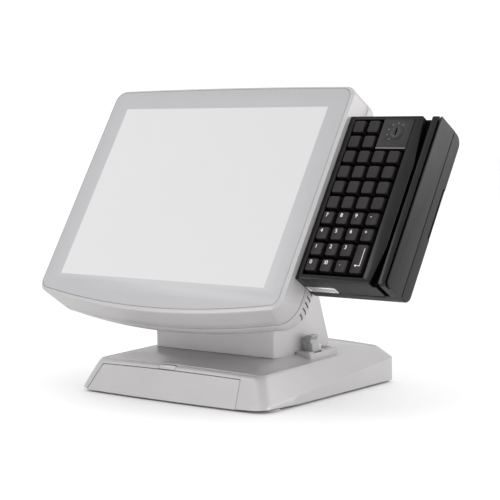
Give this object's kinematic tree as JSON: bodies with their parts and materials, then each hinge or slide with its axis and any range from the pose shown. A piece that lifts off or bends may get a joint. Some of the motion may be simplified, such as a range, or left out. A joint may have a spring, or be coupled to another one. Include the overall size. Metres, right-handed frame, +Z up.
{
  "type": "countertop touch terminal",
  "caption": "Countertop checkout terminal: tilting touch screen on a folding stand, with a programmable keypad, key switch and swipe card reader on its side.",
  "frame": {"origin": "on the counter, at the centre of the four bolt holes through the stand's feet", "axes": "+Z up, +X to the right facing the screen, +Y away from the user"},
  "size_m": [0.478, 0.2828, 0.3565],
  "materials": {
    "silver_casing": "fine silver-grey paint on moulded casing, satin",
    "black_casing": "fine textured black moulding",
    "black_keycap": "smooth satin black",
    "steel": "zinc-plated sheet",
    "foot_rubber": "matt grey rubber",
    "screen_glass": "anti-glare touch surface with a silver-grey printed border",
    "display_module": "liquid crystal module",
    "circuit_board": "green solder mask",
    "reader_metal": "polished magnetic head",
    "lock_barrel": "darkened turned metal",
    "latch_grey": "satin grey",
    "button_lens": "smooth silver-grey"
  },
  "bodies": {
    "base": {"base_cover": "silver_casing", "base_front_panel": "silver_casing", "base_bottom_plate": "steel", "rubber_feet": "foot_rubber", "fold_hinge_bracket": "steel"},
    "neck": {"neck_shell": "silver_casing", "neck_rear_cover": "silver_casing", "neck_frame": "steel", "hinge_shafts": "steel"},
    "head": {"front_bezel": "silver_casing", "touch_glass": "screen_glass", "lcd_panel": "display_module", "rear_housing": "silver_casing", "chassis_plate": "steel", "mainboard": "circuit_board", "tilt_hinge_bracket": "steel", "keypad_front_frame": "black_casing", "keypad_rear_case": "black_casing", "keypad_circuit_board": "circuit_board", "key_lock_plate": "black_casing", "card_reader_rail": "black_casing", "card_reader_head": "reader_metal"},
    "latch": {"fold_latch": "latch_grey"},
    "power_button": {"power_button": "button_lens"},
    "key_switch": {"key_switch": "lock_barrel"},
    "key_row1_col1": {"key_row1_col1": "black_keycap"},
    "key_row1_col2": {"key_row1_col2": "black_keycap"},
    "key_row2_col1": {"key_row2_col1": "black_keycap"},
    "key_row2_col2": {"key_row2_col2": "black_keycap"},
    "key_row3_col1": {"key_row3_col1": "black_keycap"},
    "key_row3_col2": {"key_row3_col2": "black_keycap"},
    "key_row3_col3": {"key_row3_col3": "black_keycap"},
    "key_row3_col4": {"key_row3_col4": "black_keycap"},
    "key_row4_col1": {"key_row4_col1": "black_keycap"},
    "key_row4_col2": {"key_row4_col2": "black_keycap"},
    "key_row4_col3": {"key_row4_col3": "black_keycap"},
    "key_row4_col4": {"key_row4_col4": "black_keycap"},
    "key_row5_col1": {"key_row5_col1": "black_keycap"},
    "key_row5_col2": {"key_row5_col2": "black_keycap"},
    "key_row5_col3": {"key_row5_col3": "black_keycap"},
    "key_row5_col4": {"key_row5_col4": "black_keycap"},
    "key_row6_col1": {"key_row6_col1": "black_keycap"},
    "key_row6_col2": {"key_row6_col2": "black_keycap"},
    "key_row6_col3": {"key_row6_col3": "black_keycap"},
    "key_row6_col4": {"key_row6_col4": "black_keycap"},
    "key_seven": {"key_seven": "black_keycap"},
    "key_eight": {"key_eight": "black_keycap"},
    "key_nine": {"key_nine": "black_keycap"},
    "key_minus": {"key_minus": "black_keycap"},
    "key_four": {"key_four": "black_keycap"},
    "key_five": {"key_five": "black_keycap"},
    "key_six": {"key_six": "black_keycap"},
    "key_plus": {"key_plus": "black_keycap"},
    "key_one": {"key_one": "black_keycap"},
    "key_two": {"key_two": "black_keycap"},
    "key_three": {"key_three": "black_keycap"},
    "key_zero": {"key_zero": "black_keycap"},
    "key_double_zero": {"key_double_zero": "black_keycap"},
    "key_point": {"key_point": "black_keycap"},
    "key_enter": {"key_enter": "black_keycap"}
  },
  "joints": [
    {"name": "head_tilt", "type": "hinge", "parent": "neck", "child": "head", "pos_m": [0, -0.016, 0.1375], "axis": [1, 0, 0], "range_deg": [-35, 12]},
    {"name": "stand_fold", "type": "hinge", "parent": "base", "child": "neck", "pos_m": [0, 0.0623, 0.056], "axis": [-1, 0, 0], "range_deg": [0, 60]},
    {"name": "latch_turn", "type": "hinge", "parent": "base", "child": "latch", "pos_m": [0.102, 0.017, 0.054], "axis": [0, 1, 0], "range_deg": [0, 22], "stiffness_Nm_per_rad": 0.05, "springref_deg": -5.73},
    {"name": "key_switch_turn", "type": "hinge", "parent": "head", "child": "key_switch", "pos_m": [0.247, -0.01707, 0.30231], "axis": [0, -0.8379, 0.5458], "range_deg": [-70, 160]},
    {"name": "power_button_press", "type": "slide", "parent": "base", "child": "power_button", "axis": [0, 1, 0], "range_m": [0, 0.0015], "stiffness_N_per_m": 300, "springref_m": -0.002},
    {"name": "key_row1_col1_press", "type": "slide", "parent": "head", "child": "key_row1_col1", "axis": [0, 0.8379, -0.5458], "range_m": [0, 0.003], "stiffness_N_per_m": 150, "springref_m": -0.002},
    {"name": "key_row1_col2_press", "type": "slide", "parent": "head", "child": "key_row1_col2", "axis": [0, 0.8379, -0.5458], "range_m": [0, 0.003], "stiffness_N_per_m": 150, "springref_m": -0.002},
    {"name": "key_row2_col1_press", "type": "slide", "parent": "head", "child": "key_row2_col1", "axis": [0, 0.8379, -0.5458], "range_m": [0, 0.003], "stiffness_N_per_m": 150, "springref_m": -0.002},
    {"name": "key_row2_col2_press", "type": "slide", "parent": "head", "child": "key_row2_col2", "axis": [0, 0.8379, -0.5458], "range_m": [0, 0.003], "stiffness_N_per_m": 150, "springref_m": -0.002},
    {"name": "key_row3_col1_press", "type": "slide", "parent": "head", "child": "key_row3_col1", "axis": [0, 0.8379, -0.5458], "range_m": [0, 0.003], "stiffness_N_per_m": 150, "springref_m": -0.002},
    {"name": "key_row3_col2_press", "type": "slide", "parent": "head", "child": "key_row3_col2", "axis": [0, 0.8379, -0.5458], "range_m": [0, 0.003], "stiffness_N_per_m": 150, "springref_m": -0.002},
    {"name": "key_row3_col3_press", "type": "slide", "parent": "head", "child": "key_row3_col3", "axis": [0, 0.8379, -0.5458], "range_m": [0, 0.003], "stiffness_N_per_m": 150, "springref_m": -0.002},
    {"name": "key_row3_col4_press", "type": "slide", "parent": "head", "child": "key_row3_col4", "axis": [0, 0.8379, -0.5458], "range_m": [0, 0.003], "stiffness_N_per_m": 150, "springref_m": -0.002},
    {"name": "key_row4_col1_press", "type": "slide", "parent": "head", "child": "key_row4_col1", "axis": [0, 0.8379, -0.5458], "range_m": [0, 0.003], "stiffness_N_per_m": 150, "springref_m": -0.002},
    {"name": "key_row4_col2_press", "type": "slide", "parent": "head", "child": "key_row4_col2", "axis": [0, 0.8379, -0.5458], "range_m": [0, 0.003], "stiffness_N_per_m": 150, "springref_m": -0.002},
    {"name": "key_row4_col3_press", "type": "slide", "parent": "head", "child": "key_row4_col3", "axis": [0, 0.8379, -0.5458], "range_m": [0, 0.003], "stiffness_N_per_m": 150, "springref_m": -0.002},
    {"name": "key_row4_col4_press", "type": "slide", "parent": "head", "child": "key_row4_col4", "axis": [0, 0.8379, -0.5458], "range_m": [0, 0.003], "stiffness_N_per_m": 150, "springref_m": -0.002},
    {"name": "key_row5_col1_press", "type": "slide", "parent": "head", "child": "key_row5_col1", "axis": [0, 0.8379, -0.5458], "range_m": [0, 0.003], "stiffness_N_per_m": 150, "springref_m": -0.002},
    {"name": "key_row5_col2_press", "type": "slide", "parent": "head", "child": "key_row5_col2", "axis": [0, 0.8379, -0.5458], "range_m": [0, 0.003], "stiffness_N_per_m": 150, "springref_m": -0.002},
    {"name": "key_row5_col3_press", "type": "slide", "parent": "head", "child": "key_row5_col3", "axis": [0, 0.8379, -0.5458], "range_m": [0, 0.003], "stiffness_N_per_m": 150, "springref_m": -0.002},
    {"name": "key_row5_col4_press", "type": "slide", "parent": "head", "child": "key_row5_col4", "axis": [0, 0.8379, -0.5458], "range_m": [0, 0.003], "stiffness_N_per_m": 150, "springref_m": -0.002},
    {"name": "key_row6_col1_press", "type": "slide", "parent": "head", "child": "key_row6_col1", "axis": [0, 0.8379, -0.5458], "range_m": [0, 0.003], "stiffness_N_per_m": 150, "springref_m": -0.002},
    {"name": "key_row6_col2_press", "type": "slide", "parent": "head", "child": "key_row6_col2", "axis": [0, 0.8379, -0.5458], "range_m": [0, 0.003], "stiffness_N_per_m": 150, "springref_m": -0.002},
    {"name": "key_row6_col3_press", "type": "slide", "parent": "head", "child": "key_row6_col3", "axis": [0, 0.8379, -0.5458], "range_m": [0, 0.003], "stiffness_N_per_m": 150, "springref_m": -0.002},
    {"name": "key_row6_col4_press", "type": "slide", "parent": "head", "child": "key_row6_col4", "axis": [0, 0.8379, -0.5458], "range_m": [0, 0.003], "stiffness_N_per_m": 150, "springref_m": -0.002},
    {"name": "key_seven_press", "type": "slide", "parent": "head", "child": "key_seven", "axis": [0, 0.8379, -0.5458], "range_m": [0, 0.003], "stiffness_N_per_m": 150, "springref_m": -0.002},
    {"name": "key_eight_press", "type": "slide", "parent": "head", "child": "key_eight", "axis": [0, 0.8379, -0.5458], "range_m": [0, 0.003], "stiffness_N_per_m": 150, "springref_m": -0.002},
    {"name": "key_nine_press", "type": "slide", "parent": "head", "child": "key_nine", "axis": [0, 0.8379, -0.5458], "range_m": [0, 0.003], "stiffness_N_per_m": 150, "springref_m": -0.002},
    {"name": "key_minus_press", "type": "slide", "parent": "head", "child": "key_minus", "axis": [0, 0.8379, -0.5458], "range_m": [0, 0.003], "stiffness_N_per_m": 150, "springref_m": -0.002},
    {"name": "key_four_press", "type": "slide", "parent": "head", "child": "key_four", "axis": [0, 0.8379, -0.5458], "range_m": [0, 0.003], "stiffness_N_per_m": 150, "springref_m": -0.002},
    {"name": "key_five_press", "type": "slide", "parent": "head", "child": "key_five", "axis": [0, 0.8379, -0.5458], "range_m": [0, 0.003], "stiffness_N_per_m": 150, "springref_m": -0.002},
    {"name": "key_six_press", "type": "slide", "parent": "head", "child": "key_six", "axis": [0, 0.8379, -0.5458], "range_m": [0, 0.003], "stiffness_N_per_m": 150, "springref_m": -0.002},
    {"name": "key_plus_press", "type": "slide", "parent": "head", "child": "key_plus", "axis": [0, 0.8379, -0.5458], "range_m": [0, 0.003], "stiffness_N_per_m": 150, "springref_m": -0.002},
    {"name": "key_one_press", "type": "slide", "parent": "head", "child": "key_one", "axis": [0, 0.8379, -0.5458], "range_m": [0, 0.003], "stiffness_N_per_m": 150, "springref_m": -0.002},
    {"name": "key_two_press", "type": "slide", "parent": "head", "child": "key_two", "axis": [0, 0.8379, -0.5458], "range_m": [0, 0.003], "stiffness_N_per_m": 150, "springref_m": -0.002},
    {"name": "key_three_press", "type": "slide", "parent": "head", "child": "key_three", "axis": [0, 0.8379, -0.5458], "range_m": [0, 0.003], "stiffness_N_per_m": 150, "springref_m": -0.002},
    {"name": "key_zero_press", "type": "slide", "parent": "head", "child": "key_zero", "axis": [0, 0.8379, -0.5458], "range_m": [0, 0.003], "stiffness_N_per_m": 150, "springref_m": -0.002},
    {"name": "key_double_zero_press", "type": "slide", "parent": "head", "child": "key_double_zero", "axis": [0, 0.8379, -0.5458], "range_m": [0, 0.003], "stiffness_N_per_m": 150, "springref_m": -0.002},
    {"name": "key_point_press", "type": "slide", "parent": "head", "child": "key_point", "axis": [0, 0.8379, -0.5458], "range_m": [0, 0.003], "stiffness_N_per_m": 150, "springref_m": -0.002},
    {"name": "key_enter_press", "type": "slide", "parent": "head", "child": "key_enter", "axis": [0, 0.8379, -0.5458], "range_m": [0, 0.003], "stiffness_N_per_m": 150, "springref_m": -0.002}
  ]
}
